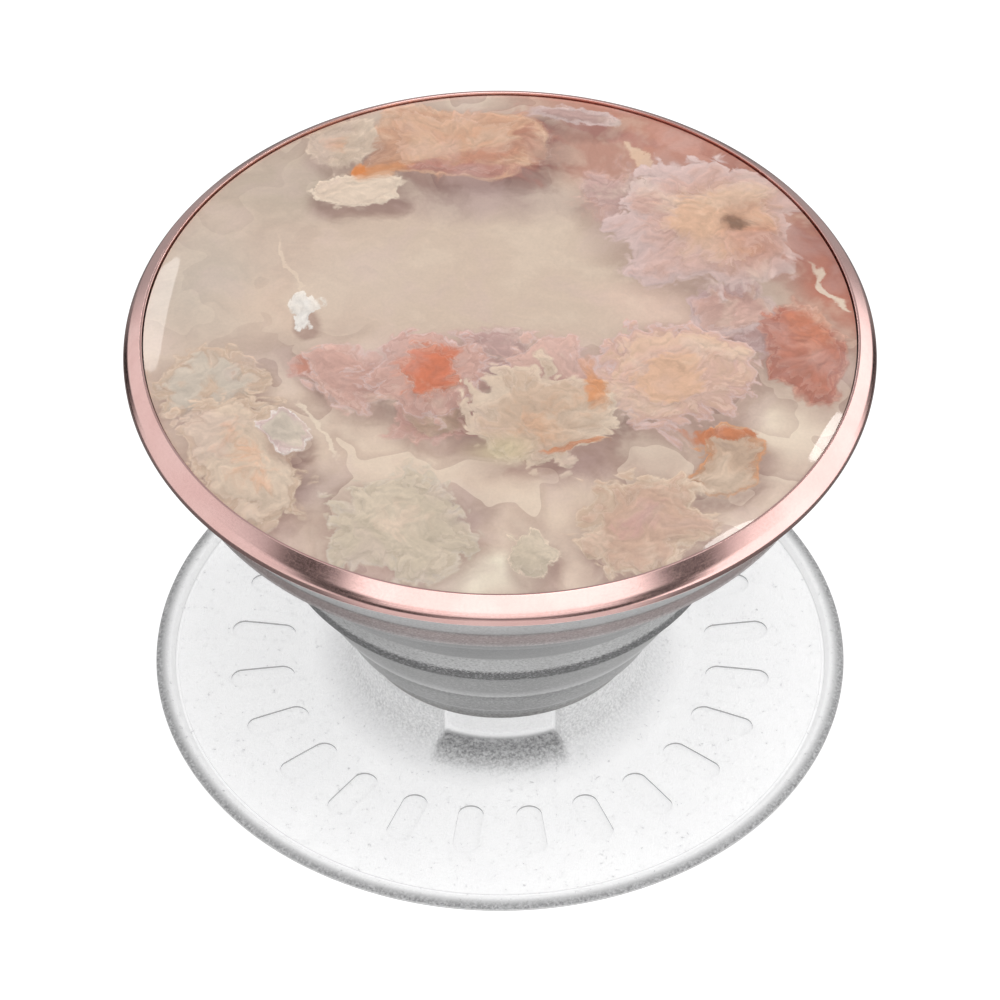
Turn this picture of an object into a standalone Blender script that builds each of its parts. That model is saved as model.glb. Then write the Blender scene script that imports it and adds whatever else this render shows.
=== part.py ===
"""A collapsible grip and stand for the back of a handheld device.

A round platform sticks on with a gel pad. A flexible accordion stands on the platform, and a
keyed button with a polished stone face locks onto the accordion's head by a quarter turn.
The accordion is one moulding on the real object. It is split here into the walls that stay
rigid and the thin webs that fold between them, because the walls move against each other.

Metres, +Z up. The origin is the centre of the gel pad's underside, and the part stands open.
"""

import math

import bmesh
import bpy
from mathutils import Matrix

MM = 0.001
PART = "collapsible_grip"

# Driving dimensions, in millimetres.
SEGMENTS = 48
CLEARANCE = 0.05

PAD_RADIUS = 17.0
PAD_THICKNESS = 0.55

PLATFORM_RADIUS = 18.84
PLATFORM_BOTTOM = PAD_THICKNESS + CLEARANCE
PLATFORM_BOTTOM_RADIUS = 17.4
PLATFORM_TOP = 1.38
LIP_TOP = 1.66
LIP_EDGE = 1.5
LIP_INNER_RADIUS = 17.75
LIP_FOOT = 0.06
LIP_SLOPE = 0.25
LIP_SLOPE_DROP = 0.04
LIP_CREST = 0.5
LIP_ROUND = 0.2
LIP_ROUND_DROP = 0.05
LIP_SIDE = 0.1
GROOVE_WIDTH = 0.14
GROOVE_DEPTH = 0.1

COLLAR_RADIUS = 7.9
COLLAR_TOP = 4.6
COLLAR_BORE = 5.95
COLLAR_CHAMFER = 0.15
BORE_FIT = 0.1
FLARE_RADIUS = 10.6
FLARE_TOP = 3.4
COUNTERBORE = 6.6
COUNTERBORE_TOP = 1.8
WINDOW_RADIUS = 6.85
WINDOW_FLOOR = 2.6
WINDOW_HALF_ANGLE = 24.5
WINDOW_OVERCUT = 4.0
WINDOW_HEADROOM = 1.0

FLANGE_TOP = 1.25
PLUG_RADIUS = 5.1
PLUG_TOP = 3.6
PLUG_CUP = 4.4
PLUG_CUP_FLOOR = 0.35
SLEEVE_BORE = 5.2

DIMPLE_COUNT = 24
DIMPLE_RING = 13.05
DIMPLE_LENGTH = 3.5
DIMPLE_WIDTH = 1.4
DIMPLE_DEPTH = 0.12

WALL = 0.4
WALL_CHAMFER = 0.08
WEB_INSET = 0.02
NECK_RADIUS = 7.6
NECK_CHAMFER = (0.12, 0.15)
NECK_TOP_RADIUS = 8.33
NECK_TOP = 5.9
# Each rigid wall: radius and height of its lower outer edge, then of its upper outer edge.
WALLS = (
    (8.80, 6.20, 9.58, 8.30),
    (10.05, 8.60, 11.66, 11.85),
    (12.15, 12.15, 12.13, 14.00),
    (12.62, 14.25, 15.30, 18.05),
)
HEAD_FOOT = (15.76, 18.35)
HEAD_SHOULDER = (17.5, 20.5)
SHOULDER_CHAMFER = (0.1, 0.08)
HEAD_TOP = (17.88, 21.7)
HEAD_BORE = 16.98

KEY_PLATE_BOTTOM = 22.5
KEY_PLATE_TOP = 23.1
KEY_SKIRT_BOTTOM = 21.0
KEY_SKIRT = 0.48
KEY_HOLE = 3.3
KEY_SLOT_REACH = 6.3
KEY_SLOT_WIDTH = 4.8
KEY_SLOT_CUT = 2.0
BOSS_RADIUS = 3.0
LUG_REACH = 6.0
LUG_WIDTH = 4.2
LUG_BOTTOM = 21.65
LUG_TOP = 22.4

BUTTON_BOTTOM = HEAD_TOP[1] + CLEARANCE
BUTTON_BOTTOM_RADIUS = 17.95
BUTTON_RADIUS = 19.22
BUTTON_TOP = 23.9
BUTTON_FLOOR = 23.2
BUTTON_BORE = 17.4

TAPE_THICKNESS = 0.15
TAPE_RADIUS = 18.6
STONE_BOTTOM = 24.15
STONE_TOP = 25.2
STONE_RADIUS = 18.72
DOME_EDGE = 25.62
DOME_TOP = 26.15
DOME_RADIUS = 18.78

RIM_INNER = 18.84
RIM_CREST = 25.8
RIM_CREST_WIDTH = 0.12
RIM_ROUND = 0.68
RIM_WIDEST = 19.87
RIM_WIDEST_HEIGHT = 24.7
RIM_ARC = (46, -55)
RIM_FOOT = 19.2
RIM_BOTTOM = BUTTON_TOP + CLEARANCE


def clear_scene():
    """Removes what the file starts with."""
    for item in list(bpy.data.objects):
        bpy.data.objects.remove(item, do_unlink=True)


def new_collection(name):
    collection = bpy.data.collections.new(name)
    bpy.context.scene.collection.children.link(collection)
    return collection


def make_material(name, colour, roughness, metallic=0.0, alpha=1.0, transmission=0.0):
    material = bpy.data.materials.new(name)
    material.use_nodes = True
    shader = material.node_tree.nodes["Principled BSDF"]
    shader.inputs["Base Color"].default_value = (*colour, 1.0)
    shader.inputs["Roughness"].default_value = roughness
    shader.inputs["Metallic"].default_value = metallic
    shader.inputs["Alpha"].default_value = alpha
    shader.inputs["Transmission Weight"].default_value = transmission
    return material


def arc(centre_r, centre_z, radius, start, end, count):
    """Points along a circle in the section plane, angles in degrees from +R towards +Z."""
    points = []
    for i in range(count + 1):
        angle = math.radians(start + (end - start) * i / count)
        points.append((centre_r + radius * math.cos(angle), centre_z + radius * math.sin(angle)))
    return points


def evaluated_mesh(obj):
    bpy.context.view_layer.update()
    graph = bpy.context.evaluated_depsgraph_get()
    return bpy.data.meshes.new_from_object(obj.evaluated_get(graph))


def settle(obj, material):
    """Turns the object's modifiers into its mesh, shaded smooth with crisp edges."""
    mesh = evaluated_mesh(obj)
    obj.modifiers.clear()
    obj.data = mesh
    mesh.materials.clear()
    mesh.materials.append(material)
    mesh.shade_smooth()
    mesh.set_sharp_from_angle(angle=math.radians(35))


def turned(name, section, collection, closed):
    """Spins a section about Z. An open section starts and ends on the axis."""
    mesh = bpy.data.meshes.new(name)
    bm = bmesh.new()
    verts = [bm.verts.new((r * MM, 0.0, z * MM)) for r, z in section]
    for low, high in zip(verts, verts[1:]):
        bm.edges.new((low, high))
    if closed:
        bm.edges.new((verts[-1], verts[0]))
    bm.to_mesh(mesh)
    bm.free()
    obj = bpy.data.objects.new(name, mesh)
    collection.objects.link(obj)
    screw = obj.modifiers.new("turn", "SCREW")
    screw.steps = SEGMENTS
    screw.render_steps = SEGMENTS
    screw.use_merge_vertices = True
    screw.merge_threshold = 0.000001
    return obj


def block(name, size, centre, collection):
    """A box with its edges along the axes, sizes and centre in millimetres."""
    mesh = bpy.data.meshes.new(name)
    bm = bmesh.new()
    bmesh.ops.create_cube(bm, size=1.0)
    bmesh.ops.scale(bm, vec=[side * MM for side in size], verts=bm.verts)
    bmesh.ops.translate(bm, vec=[place * MM for place in centre], verts=bm.verts)
    bm.to_mesh(mesh)
    bm.free()
    obj = bpy.data.objects.new(name, mesh)
    collection.objects.link(obj)
    return obj


def combine(obj, tool, operation):
    boolean = obj.modifiers.new(operation.lower(), "BOOLEAN")
    boolean.operation = operation
    boolean.solver = "EXACT"
    boolean.object = tool


def hide_cutter(obj):
    obj.hide_render = True
    obj.display_type = "WIRE"


def stadium(bm, length, width, depth, turn, distance, height):
    """Adds a round-ended prism that lies along a radius, its middle at the given distance."""
    made = bmesh.ops.create_cone(
        bm,
        cap_ends=True,
        segments=16,
        radius1=width / 2 * MM,
        radius2=width / 2 * MM,
        depth=depth * MM,
    )
    stretch = (length - width) / 2 * MM
    for vert in made["verts"]:
        vert.co.x += math.copysign(stretch, vert.co.x) if abs(vert.co.x) > 1e-7 else 0.0
    place = Matrix.Rotation(turn, 4, "Z") @ Matrix.Translation((distance * MM, 0.0, height * MM))
    bmesh.ops.transform(bm, matrix=place, verts=made["verts"])


def dimple_cutter(collection):
    """One cutter for the ring of shallow round-ended dimples in the platform."""
    name = "dimple_cutter"
    mesh = bpy.data.meshes.new(name)
    bm = bmesh.new()
    depth = 4 * DIMPLE_DEPTH
    height = PLATFORM_TOP - DIMPLE_DEPTH + depth / 2
    for i in range(DIMPLE_COUNT):
        turn = math.tau * (i + 0.5) / DIMPLE_COUNT
        stadium(bm, DIMPLE_LENGTH, DIMPLE_WIDTH, depth, turn, DIMPLE_RING, height)
    bm.to_mesh(mesh)
    bm.free()
    obj = bpy.data.objects.new(name, mesh)
    collection.objects.link(obj)
    hide_cutter(obj)
    return obj


def window_cutter(collection):
    """Cuts the collar back to its inner tube over two opposite sectors, front and back."""
    reach = COLLAR_RADIUS + WINDOW_OVERCUT
    top = COLLAR_TOP + WINDOW_HEADROOM
    section = [
        (reach, top),
        (reach, WINDOW_FLOOR),
        (WINDOW_RADIUS, WINDOW_FLOOR),
        (WINDOW_RADIUS, top),
    ]
    sectors = []
    for middle in (-90.0, 90.0):
        name = "window_cutter_front" if middle < 0 else "window_cutter_back"
        mesh = bpy.data.meshes.new(name)
        bm = bmesh.new()
        verts = [bm.verts.new((r * MM, 0.0, z * MM)) for r, z in section]
        face = bm.faces.new(verts)
        start = Matrix.Rotation(math.radians(middle - WINDOW_HALF_ANGLE), 4, "Z")
        bmesh.ops.transform(bm, matrix=start, verts=bm.verts)
        bmesh.ops.spin(
            bm,
            geom=[face],
            axis=(0, 0, 1),
            cent=(0, 0, 0),
            angle=math.radians(2 * WINDOW_HALF_ANGLE),
            steps=10,
        )
        bmesh.ops.recalc_face_normals(bm, faces=bm.faces)
        bm.to_mesh(mesh)
        bm.free()
        obj = bpy.data.objects.new(name, mesh)
        collection.objects.link(obj)
        hide_cutter(obj)
        sectors.append(obj)
    return sectors


def flare():
    """The collar's foot, sweeping out into the platform's flat top."""
    points = []
    steps = 6
    for i in range(steps + 1):
        t = i / steps
        r = COLLAR_RADIUS + (FLARE_RADIUS - COLLAR_RADIUS) * t**2.2
        z = PLATFORM_TOP + (FLARE_TOP - PLATFORM_TOP) * (1 - t) ** 1.6
        points.append((r, z))
    return points


def make_platform(parts, cutters, material):
    groove_outer = LIP_INNER_RADIUS
    groove_inner = groove_outer - GROOVE_WIDTH
    lip = [
        (groove_inner, PLATFORM_TOP),
        (groove_inner, PLATFORM_TOP - GROOVE_DEPTH),
        (groove_outer, PLATFORM_TOP - GROOVE_DEPTH),
        (groove_outer, PLATFORM_TOP + LIP_FOOT),
        (groove_outer + LIP_SLOPE, LIP_TOP - LIP_SLOPE_DROP),
        (groove_outer + LIP_CREST, LIP_TOP),
        (PLATFORM_RADIUS - LIP_ROUND, LIP_TOP - LIP_ROUND_DROP),
        (PLATFORM_RADIUS, LIP_EDGE),
        (PLATFORM_RADIUS, LIP_EDGE - LIP_SIDE),
        (PLATFORM_BOTTOM_RADIUS, PLATFORM_BOTTOM),
    ]
    section = [(COLLAR_BORE, COLLAR_TOP), (COLLAR_RADIUS - COLLAR_CHAMFER, COLLAR_TOP)]
    section += [(COLLAR_RADIUS, COLLAR_TOP - COLLAR_CHAMFER)]
    section += flare() + lip
    section += [
        (COUNTERBORE, PLATFORM_BOTTOM),
        (COUNTERBORE, COUNTERBORE_TOP),
        (COLLAR_BORE, COUNTERBORE_TOP),
    ]
    obj = turned("platform", section, parts, closed=True)
    for cutter in window_cutter(cutters):
        combine(obj, cutter, "DIFFERENCE")
    combine(obj, dimple_cutter(cutters), "DIFFERENCE")
    settle(obj, material)


def make_base(parts, cutters, materials):
    pad = [(0, PAD_THICKNESS), (PAD_RADIUS, PAD_THICKNESS), (PAD_RADIUS, 0), (0, 0)]
    settle(turned("adhesive_pad", pad, parts, closed=False), materials["gel"])
    make_platform(parts, cutters, materials["platform"])

    flange = COUNTERBORE - BORE_FIT
    flange_bottom = PLATFORM_BOTTOM + CLEARANCE
    cup_floor = FLANGE_TOP + PLUG_CUP_FLOOR
    plug = [
        (0, cup_floor),
        (PLUG_CUP, cup_floor),
        (PLUG_CUP, PLUG_TOP),
        (PLUG_RADIUS, PLUG_TOP),
        (PLUG_RADIUS, FLANGE_TOP),
        (flange, FLANGE_TOP),
        (flange, flange_bottom),
        (0, flange_bottom),
    ]
    settle(turned("anchor_plug", plug, parts, closed=False), materials["platform"])

    sleeve = COLLAR_BORE - BORE_FIT
    shelf = COLLAR_TOP + CLEARANCE
    bead_bottom = FLANGE_TOP + CLEARANCE
    bead_top = COUNTERBORE_TOP - CLEARANCE
    foot = [
        (NECK_TOP_RADIUS, NECK_TOP),
        (NECK_RADIUS, shelf + NECK_CHAMFER[1]),
        (NECK_RADIUS - NECK_CHAMFER[0], shelf),
        (sleeve, shelf),
        (sleeve, bead_top),
        (flange, bead_top),
        (flange, bead_bottom),
        (SLEEVE_BORE, bead_bottom),
        (SLEEVE_BORE, shelf + WALL),
        (NECK_RADIUS - WALL, shelf + WALL),
        (NECK_TOP_RADIUS - WALL, NECK_TOP),
    ]
    settle(turned("accordion_foot", foot, parts, closed=True), materials["accordion"])


def make_walls(parts, material):
    for number, (low_r, low_z, high_r, high_z) in enumerate(WALLS, start=1):
        wall = [
            (high_r, high_z - WALL_CHAMFER),
            (low_r, low_z + WALL_CHAMFER),
            (low_r - WALL_CHAMFER, low_z),
            (low_r - WALL, low_z),
            (high_r - WALL, high_z),
            (high_r - WALL_CHAMFER, high_z),
        ]
        settle(turned(f"accordion_wall_{number}", wall, parts, closed=True), material)

    head = [
        HEAD_TOP,
        HEAD_SHOULDER,
        (HEAD_SHOULDER[0] - SHOULDER_CHAMFER[0], HEAD_SHOULDER[1] - SHOULDER_CHAMFER[1]),
        HEAD_FOOT,
        (HEAD_FOOT[0] - WALL, HEAD_FOOT[1]),
        (HEAD_BORE, HEAD_SHOULDER[1]),
        (HEAD_BORE, HEAD_TOP[1]),
    ]
    settle(turned("accordion_head", head, parts, closed=True), material)


def make_webs(parts, material):
    """Thin rings that join each wall's top to the next wall's foot."""
    lower_edges = [(NECK_TOP_RADIUS, NECK_TOP)] + [(w[2], w[3]) for w in WALLS]
    upper_edges = [(w[0], w[1]) for w in WALLS] + [HEAD_FOOT]
    for number, (lower, upper) in enumerate(zip(lower_edges, upper_edges), start=1):
        inner = lower[0] - WALL
        outer = upper[0] - WEB_INSET
        bottom = lower[1] + CLEARANCE
        top = upper[1] - CLEARANCE
        web = [(outer, top), (outer, bottom), (inner, bottom), (inner, top)]
        settle(turned(f"accordion_web_{number}", web, parts, closed=True), material)


def make_lock(parts, cutters, materials):
    """The slotted plate in the accordion's head, and the lugged key that turns in it."""
    skirt_outer = HEAD_BORE - CLEARANCE
    plate = [
        (skirt_outer, KEY_PLATE_TOP),
        (skirt_outer, KEY_SKIRT_BOTTOM),
        (skirt_outer - KEY_SKIRT, KEY_SKIRT_BOTTOM),
        (skirt_outer - KEY_SKIRT, KEY_PLATE_BOTTOM),
        (KEY_HOLE, KEY_PLATE_BOTTOM),
        (KEY_HOLE, KEY_PLATE_TOP),
    ]
    key_plate = turned("key_plate", plate, parts, closed=True)
    slot_size = (KEY_SLOT_WIDTH, 2 * KEY_SLOT_REACH, KEY_SLOT_CUT)
    slot_centre = (0, 0, (KEY_PLATE_BOTTOM + KEY_PLATE_TOP) / 2)
    slot = block("key_slot_cutter", slot_size, slot_centre, cutters)
    hide_cutter(slot)
    combine(key_plate, slot, "DIFFERENCE")
    settle(key_plate, materials["plate"])

    boss_top = BUTTON_FLOOR - CLEARANCE
    boss_bottom = LUG_BOTTOM - CLEARANCE
    boss = [(0, boss_top), (BOSS_RADIUS, boss_top), (BOSS_RADIUS, boss_bottom), (0, boss_bottom)]
    key = turned("twist_key", boss, parts, closed=False)
    lug_size = (2 * LUG_REACH, LUG_WIDTH, LUG_TOP - LUG_BOTTOM)
    lugs = block("lug_cutter", lug_size, (0, 0, (LUG_TOP + LUG_BOTTOM) / 2), cutters)
    hide_cutter(lugs)
    combine(key, lugs, "UNION")
    settle(key, materials["plate"])


def make_button(parts, materials):
    body = [
        (0, BUTTON_TOP),
        (BUTTON_RADIUS, BUTTON_TOP),
        (BUTTON_BOTTOM_RADIUS, BUTTON_BOTTOM),
        (BUTTON_BORE, BUTTON_BOTTOM),
        (BUTTON_BORE, BUTTON_FLOOR),
        (0, BUTTON_FLOOR),
    ]
    settle(turned("button_body", body, parts, closed=False), materials["button"])

    tape_bottom = BUTTON_TOP + CLEARANCE
    tape_top = tape_bottom + TAPE_THICKNESS
    tape = [(0, tape_top), (TAPE_RADIUS, tape_top), (TAPE_RADIUS, tape_bottom), (0, tape_bottom)]
    settle(turned("bonding_film", tape, parts, closed=False), materials["film"])

    stone = [
        (0, STONE_TOP),
        (STONE_RADIUS, STONE_TOP),
        (STONE_RADIUS, STONE_BOTTOM),
        (0, STONE_BOTTOM),
    ]
    settle(turned("stone_disc", stone, parts, closed=False), materials["stone"])

    rise = DOME_TOP - DOME_EDGE
    curve_radius = (DOME_RADIUS**2 + rise**2) / (2 * rise)
    edge_angle = math.degrees(math.acos(DOME_RADIUS / curve_radius))
    dome = arc(0, DOME_TOP - curve_radius, curve_radius, 90, edge_angle, 6)
    dome += [(DOME_RADIUS, STONE_TOP + CLEARANCE), (0, STONE_TOP + CLEARANCE)]
    settle(turned("resin_dome", dome, parts, closed=False), materials["resin"])


def make_rim(parts, material):
    """The metal ring: a thin crest round the face, a wide bevel, and a rounded widest edge."""
    round_centre = (RIM_WIDEST - RIM_ROUND, RIM_WIDEST_HEIGHT)
    section = [(RIM_INNER + RIM_CREST_WIDTH, RIM_CREST)]
    section += arc(*round_centre, RIM_ROUND, *RIM_ARC, 7)
    section += [(RIM_FOOT, RIM_BOTTOM), (RIM_INNER, RIM_BOTTOM), (RIM_INNER, RIM_CREST)]
    settle(turned("rim_ring", section, parts, closed=True), material)


def main():
    clear_scene()
    parts = new_collection(PART)
    cutters = new_collection("cutters")
    materials = {
        "gel": make_material("gel", (0.55, 0.56, 0.57), 0.45),
        "platform": make_material("platform", (0.93, 0.93, 0.93), 0.4),
        "accordion": make_material("accordion", (0.62, 0.62, 0.62), 0.38),
        "plate": make_material("plate", (0.75, 0.75, 0.76), 0.4),
        "button": make_material("button", (0.68, 0.67, 0.67), 0.42),
        "film": make_material("film", (0.85, 0.84, 0.8), 0.5),
        "stone": make_material("stone", (0.66, 0.5, 0.4), 0.35),
        "resin": make_material("resin", (0.95, 0.93, 0.9), 0.05, alpha=0.3, transmission=1.0),
        "rose_metal": make_material("rose_metal", (0.83, 0.56, 0.53), 0.22, metallic=1.0),
    }
    make_base(parts, cutters, materials)
    make_walls(parts, materials["accordion"])
    make_webs(parts, materials["accordion"])
    make_lock(parts, cutters, materials)
    make_button(parts, materials)
    make_rim(parts, materials["rose_metal"])


main()
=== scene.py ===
"""Looks for a collapsible phone grip: an agate-faced button with a rose-gold rim, a grey
accordion and a frosted clear platform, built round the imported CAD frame. Metres, +Z up."""

import math

import bmesh
import bpy
from mathutils import Matrix, Vector


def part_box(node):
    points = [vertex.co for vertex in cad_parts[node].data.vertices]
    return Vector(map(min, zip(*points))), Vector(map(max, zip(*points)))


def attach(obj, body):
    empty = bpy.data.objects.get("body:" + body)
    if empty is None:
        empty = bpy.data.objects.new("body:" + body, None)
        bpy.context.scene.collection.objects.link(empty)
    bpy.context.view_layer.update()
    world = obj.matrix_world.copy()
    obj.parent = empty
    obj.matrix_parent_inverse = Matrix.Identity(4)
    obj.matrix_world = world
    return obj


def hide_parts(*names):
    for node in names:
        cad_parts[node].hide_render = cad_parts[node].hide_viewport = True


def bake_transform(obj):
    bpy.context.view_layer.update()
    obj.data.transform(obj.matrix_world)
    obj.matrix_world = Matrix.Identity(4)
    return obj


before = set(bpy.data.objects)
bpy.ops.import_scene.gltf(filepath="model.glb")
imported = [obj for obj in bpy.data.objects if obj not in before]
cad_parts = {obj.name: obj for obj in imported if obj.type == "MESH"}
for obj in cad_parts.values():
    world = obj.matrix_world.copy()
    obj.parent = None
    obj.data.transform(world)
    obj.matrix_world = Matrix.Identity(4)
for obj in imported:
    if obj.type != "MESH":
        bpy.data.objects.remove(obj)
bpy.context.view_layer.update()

MM = 0.001
TINY = 1e-6
ROUND = 288


# Places taken from the frame, in millimetres.
def low(node):
    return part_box(node)[0].z / MM


def high(node):
    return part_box(node)[1].z / MM


def radius(node):
    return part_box(node)[1].x / MM


# ---------------------------------------------------------------- node helpers
class Tree:
    """A thin wrapper that makes and links shader nodes."""

    def __init__(self, tree):
        self.tree = tree

    def node(self, kind, **settings):
        made = self.tree.nodes.new(kind)
        for key, value in settings.items():
            setattr(made, key, value)
        return made

    def put(self, socket, value):
        if isinstance(value, bpy.types.NodeSocket):
            self.tree.links.new(value, socket)
        elif value is not None:
            socket.default_value = value

    def math(self, operation, a, b=None, c=None):
        made = self.node("ShaderNodeMath", operation=operation)
        for socket, value in zip(made.inputs, (a, b, c)):
            self.put(socket, value)
        return made.outputs[0]

    def vector(self, operation, a, b=None, scale=None):
        made = self.node("ShaderNodeVectorMath", operation=operation)
        self.put(made.inputs[0], a)
        self.put(made.inputs[1], b)
        if scale is not None:
            self.put(made.inputs["Scale"], scale)
        return made.outputs["Value"] if operation in ("LENGTH", "DOT_PRODUCT") else made.outputs[0]

    def noise(self, at, scale, detail=3.0, rough=0.55, distortion=0.0, flat=False):
        made = self.node("ShaderNodeTexNoise", noise_dimensions="2D" if flat else "3D")
        self.put(made.inputs["Vector"], at)
        self.put(made.inputs["Scale"], scale)
        self.put(made.inputs["Detail"], detail)
        self.put(made.inputs["Roughness"], rough)
        self.put(made.inputs["Distortion"], distortion)
        return made

    def step(self, value, start, end, to_min=0.0, to_max=1.0, smooth=True):
        """Goes from to_min to to_max as the value goes from start to end, and stays there."""
        made = self.node("ShaderNodeMapRange")
        made.interpolation_type = "SMOOTHSTEP" if smooth else "LINEAR"
        for name, item in (
            ("Value", value),
            ("From Min", start),
            ("From Max", end),
            ("To Min", to_min),
            ("To Max", to_max),
        ):
            self.put(made.inputs[name], item)
        return made.outputs["Result"]

    def mix(self, factor, a, b, blend="MIX", data="RGBA"):
        made = self.node("ShaderNodeMix", data_type=data, blend_type=blend)
        self.put(made.inputs["Factor"], factor)
        self.put(made.inputs["A"], a)
        self.put(made.inputs["B"], b)
        return made.outputs["Result"]

    def ramp(self, value, stops):
        made = self.node("ShaderNodeValToRGB")
        band = made.color_ramp
        band.elements.remove(band.elements[1])
        band.elements[0].position, band.elements[0].color = stops[0]
        for place, colour in stops[1:]:
            band.elements.new(place).color = colour
        self.put(made.inputs["Fac"], value)
        return made.outputs["Color"]

    def bump(self, height, strength, distance):
        made = self.node("ShaderNodeBump")
        self.put(made.inputs["Height"], height)
        self.put(made.inputs["Strength"], strength)
        self.put(made.inputs["Distance"], distance)
        return made.outputs["Normal"]


def rgb(red, green, blue):
    """An sRGB colour, 0 to 255, as the linear colour that a shader takes."""
    parts = []
    for part in (red, green, blue):
        part /= 255
        parts.append(part / 12.92 if part <= 0.04045 else ((part + 0.055) / 1.055) ** 2.4)
    return (*parts, 1.0)


def new_material(name, **inputs):
    material = bpy.data.materials.new(name)
    material.use_nodes = True
    tree = Tree(material.node_tree)
    shader = material.node_tree.nodes["Principled BSDF"]
    for key, value in inputs.items():
        shader.inputs[key.replace("_", " ")].default_value = value
    return material, tree, shader


def millimetres(tree):
    """Object coordinates in millimetres; every piece has its origin at the frame's."""
    place = tree.node("ShaderNodeTexCoord").outputs["Object"]
    return tree.vector("SCALE", place, scale=1 / MM)


# ---------------------------------------------------------------- mesh helpers
FILLET_SHARE = 0.48


def rounded(points, steps=5):
    """A closed section from corners (r, z, fillet), each fillet drawn as an arc."""
    section = []
    count = len(points)
    for i, (r, z, fillet) in enumerate(points):
        corner = Vector((r, z))
        before = Vector(points[i - 1][:2]) - corner
        after = Vector(points[(i + 1) % count][:2]) - corner
        if fillet <= 0 or min(before.length, after.length) < TINY:
            section.append((r, z))
            continue
        half = before.angle(after) / 2
        longest = FILLET_SHARE * min(before.length, after.length)
        reach = min(fillet / math.tan(half), longest)
        start = corner + before.normalized() * reach
        end = corner + after.normalized() * reach
        for k in range(steps + 1):
            t = k / steps
            point = start * (1 - t) ** 2 + corner * 2 * t * (1 - t) + end * t**2
            section.append((point.x, point.y))
    return section


def lathe(name, section, steps=ROUND):
    """Turns a section in millimetres about Z. One that begins and ends on the axis is closed there."""
    capped = section[0][0] < TINY and section[-1][0] < TINY
    ring = section[1:-1] if capped else section
    bm = bmesh.new()
    columns = []
    for k in range(steps):
        turn = math.tau * k / steps
        sine, cosine = math.sin(turn), math.cos(turn)
        columns.append([bm.verts.new((r * cosine * MM, r * sine * MM, z * MM)) for r, z in ring])
    pairs = len(ring) - 1 if capped else len(ring)
    for k in range(steps):
        here, there = columns[k], columns[(k + 1) % steps]
        for i in range(pairs):
            j = (i + 1) % len(ring)
            bm.faces.new((here[i], here[j], there[j], there[i]))
    if capped:
        for end, row in ((section[0], 0), (section[-1], -1)):
            pole = bm.verts.new((0, 0, end[1] * MM))
            for k in range(steps):
                bm.faces.new((columns[k][row], columns[(k + 1) % steps][row], pole))
    bmesh.ops.recalc_face_normals(bm, faces=bm.faces)
    mesh = bpy.data.meshes.new(name)
    bm.to_mesh(mesh)
    bm.free()
    mesh.shade_smooth()
    obj = bpy.data.objects.new(name, mesh)
    bpy.context.scene.collection.objects.link(obj)
    return obj


def crisp(obj, angle):
    """Keeps edges sharper than the angle, in degrees, sharp under the smooth shading."""
    obj.data.set_sharp_from_angle(angle=math.radians(angle))
    return obj


def cut(obj, cutters):
    """Takes the cutters' shapes out of obj and removes the cutters."""
    for cutter in cutters:
        boolean = obj.modifiers.new("cut", "BOOLEAN")
        boolean.operation = "DIFFERENCE"
        boolean.solver = "EXACT"
        boolean.object = cutter
    bpy.context.view_layer.update()
    graph = bpy.context.evaluated_depsgraph_get()
    mesh = bpy.data.meshes.new_from_object(obj.evaluated_get(graph))
    obj.modifiers.clear()
    obj.data = mesh
    for cutter in cutters:
        bpy.data.objects.remove(cutter, do_unlink=True)


def dress(obj, material, body, slot_name, *nodes):
    """Gives a piece its material, its body and the CAD nodes that it stands for. slot_name is not used.
    """
    obj.data.materials.clear()
    obj.data.materials.append(material)
    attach(obj, body)
    if nodes:
        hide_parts(*nodes)
    return obj


def repaint(node, material):
    """Gives a carried-over CAD node a finished material."""
    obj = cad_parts[node]
    obj.data.materials.clear()
    obj.data.materials.append(material)


# ---------------------------------------------------------------- platform
FLAT = low("platform") + 0.78
LIP_TOP = FLAT + 0.27
LIP_EDGE = FLAT + 0.12
GROOVE = 17.68
COLLAR = 7.9
COLLAR_TOP = high("platform")
FLARE_REACH = 2.9
FLARE_RISE = 2.0
FLARE_POINTS = 14
TUBE = 6.85
WINDOW_FLOOR = FLAT + 1.0
WINDOW_HALF_ANGLE = 24.5
MARKS = 24
MARK_RING = 13.05
MARK_LENGTH = 3.5
MARK_WIDTH = 1.4
MARK_DEPTH = 0.12

# Where the base's painted shade changes, in millimetres from the axis.
COLLAR_FADE = (10.6, 8.2)
MARKS_FROM = (10.8, 11.2)
LIP_FROM = (16.0, 16.4)
EDGE_FROM = (17.95, 18.65)
LEDGE_FROM = (6.95, 7.35)
LEDGE_FADE = (9.4, 8.0)


def platform_section():
    edge = radius("platform")
    bore, counterbore, step = 5.95, 6.6, 1.8
    bottom = low("platform")
    flare = []
    for i in range(FLARE_POINTS + 1):
        t = i / FLARE_POINTS
        r = COLLAR + FLARE_REACH * t**2.1
        z = FLAT + FLARE_RISE * (1 - t) ** 1.7
        flare.append((r, z, 0))
    corners = [(bore, COLLAR_TOP, 0.08), (COLLAR, COLLAR_TOP, 0.14)] + flare
    corners += [
        (GROOVE - 0.1, FLAT, 0.03),
        (GROOVE - 0.06, FLAT - 0.09, 0.03),
        (GROOVE + 0.06, FLAT - 0.09, 0.03),
        (GROOVE + 0.12, FLAT + 0.03, 0.05),
        (GROOVE + 0.35, LIP_TOP, 0.18),
        (edge - 0.42, LIP_TOP, 0.3),
        (edge, LIP_EDGE, 0.12),
        (edge - 0.06, LIP_EDGE - 0.16, 0.05),
        (17.4, bottom, 0.15),
        (counterbore, bottom, 0),
        (counterbore, step, 0),
        (bore, step, 0),
    ]
    return rounded(corners)


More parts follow.
